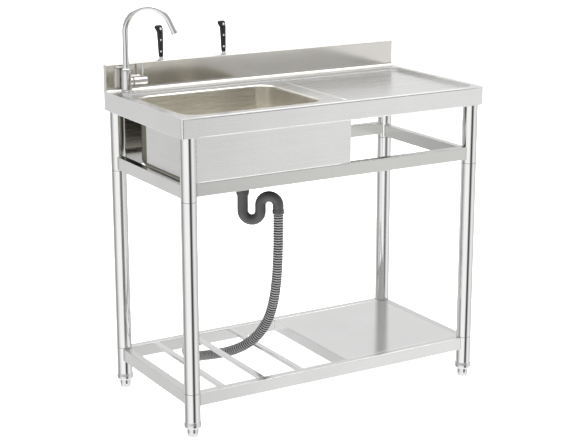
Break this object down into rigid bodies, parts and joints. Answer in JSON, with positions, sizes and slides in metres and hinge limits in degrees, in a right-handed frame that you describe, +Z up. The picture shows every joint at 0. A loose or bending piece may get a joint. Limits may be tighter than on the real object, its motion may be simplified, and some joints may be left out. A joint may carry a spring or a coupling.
{
  "type": "free-standing sink",
  "caption": "Free-standing stainless steel sink with a bowl, right-hand drainboard, backsplash, mixer tap, round legs, lower shelf and corrugated waste hose.",
  "frame": {"origin": "on the floor, under the middle of the worktop", "axes": "+Z up, -Y towards the front of the sink, +X to the right, so the bowl is at -X"},
  "size_m": [1, 0.7141, 1.1605],
  "materials": {
    "brushed_sheet": "brushed",
    "polished_tube": "polished",
    "chrome": "polished",
    "brass": "turned",
    "blade_steel": "satin",
    "grey_plastic": "moulded",
    "hose_plastic": "corrugated",
    "black_plastic": "moulded",
    "rubber": "matte"
  },
  "bodies": {
    "stand": {"worktop": "brushed_sheet", "bowl": "brushed_sheet", "backsplash": "brushed_sheet", "backsplash_end_caps": "brushed_sheet", "front_skirt": "brushed_sheet", "back_skirt": "brushed_sheet", "left_skirt": "brushed_sheet", "deck_stiffeners": "brushed_sheet", "shelf_plate": "brushed_sheet", "shelf_slat_1": "brushed_sheet", "shelf_slat_2": "brushed_sheet", "shelf_slat_3": "brushed_sheet", "drain_cup": "brushed_sheet", "upper_leg_front_left": "polished_tube", "lower_leg_front_left": "polished_tube", "upper_leg_front_right": "polished_tube", "lower_leg_front_right": "polished_tube", "upper_leg_back_left": "polished_tube", "lower_leg_back_left": "polished_tube", "upper_leg_back_right": "polished_tube", "lower_leg_back_right": "polished_tube", "stretcher_front": "polished_tube", "shelf_rail_front": "polished_tube", "stretcher_back": "polished_tube", "shelf_rail_back": "polished_tube", "stretcher_left": "polished_tube", "shelf_rail_left": "polished_tube", "stretcher_right": "polished_tube", "shelf_rail_right": "polished_tube", "leg_sockets": "brushed_sheet", "leg_sleeves": "brushed_sheet", "foot_bushings": "brushed_sheet", "leg_stubs": "polished_tube", "tap_body": "chrome", "tap_locknut": "brass", "drain_gasket": "rubber", "drain_locknut": "grey_plastic", "trap_inlet_nut": "grey_plastic", "trap_tube": "grey_plastic", "trap_outlet_nut": "grey_plastic", "waste_hose": "hose_plastic", "hose_cuff": "rubber"},
    "spout": {"tap_spout": "chrome", "tap_aerator": "chrome"},
    "mixer": {"tap_mixer_stem": "brass"},
    "handle": {"tap_handle": "chrome", "tap_lever_pin": "chrome"},
    "basket": {"strainer_basket": "brushed_sheet"},
    "foot_front_left": {"foot_front_left": "brushed_sheet"},
    "foot_front_right": {"foot_front_right": "brushed_sheet"},
    "foot_back_left": {"foot_back_left": "brushed_sheet"},
    "foot_back_right": {"foot_back_right": "brushed_sheet"},
    "knife_left": {"knife_blade_left": "blade_steel", "knife_handle_left": "black_plastic", "knife_rivets_left": "blade_steel"},
    "knife_right": {"knife_blade_right": "blade_steel", "knife_handle_right": "black_plastic", "knife_rivets_right": "blade_steel"}
  },
  "joints": [
    {"name": "spout_swivel", "type": "hinge", "parent": "stand", "child": "spout", "pos_m": [-0.447, 0.207, 1], "axis": [0, 0, 1], "range_deg": [-93, 27]},
    {"name": "lever_temperature", "type": "hinge", "parent": "stand", "child": "mixer", "pos_m": [-0.435, 0.207, 0.939], "axis": [1, 0, 0], "range_deg": [-20, 45]},
    {"name": "lever_flow", "type": "hinge", "parent": "mixer", "child": "handle", "pos_m": [-0.428, 0.207, 0.939], "axis": [0, -1, 0], "range_deg": [0, 12]},
    {"name": "basket_lift", "type": "slide", "parent": "stand", "child": "basket", "axis": [0, 0, 1], "range_m": [0, 0.2]},
    {"name": "foot_front_left_screw", "type": "slide", "parent": "stand", "child": "foot_front_left", "axis": [0, 0, -1], "range_m": [0, 0.02]},
    {"name": "foot_front_right_screw", "type": "slide", "parent": "stand", "child": "foot_front_right", "axis": [0, 0, -1], "range_m": [0, 0.02]},
    {"name": "foot_back_left_screw", "type": "slide", "parent": "stand", "child": "foot_back_left", "axis": [0, 0, -1], "range_m": [0, 0.02]},
    {"name": "foot_back_right_screw", "type": "slide", "parent": "stand", "child": "foot_back_right", "axis": [0, 0, -1], "range_m": [0, 0.02]},
    {"name": "knife_left_draw", "type": "slide", "parent": "stand", "child": "knife_left", "axis": [0, 0, 1], "range_m": [0, 0.15]},
    {"name": "knife_right_draw", "type": "slide", "parent": "stand", "child": "knife_right", "axis": [0, 0, 1], "range_m": [0, 0.15]}
  ]
}
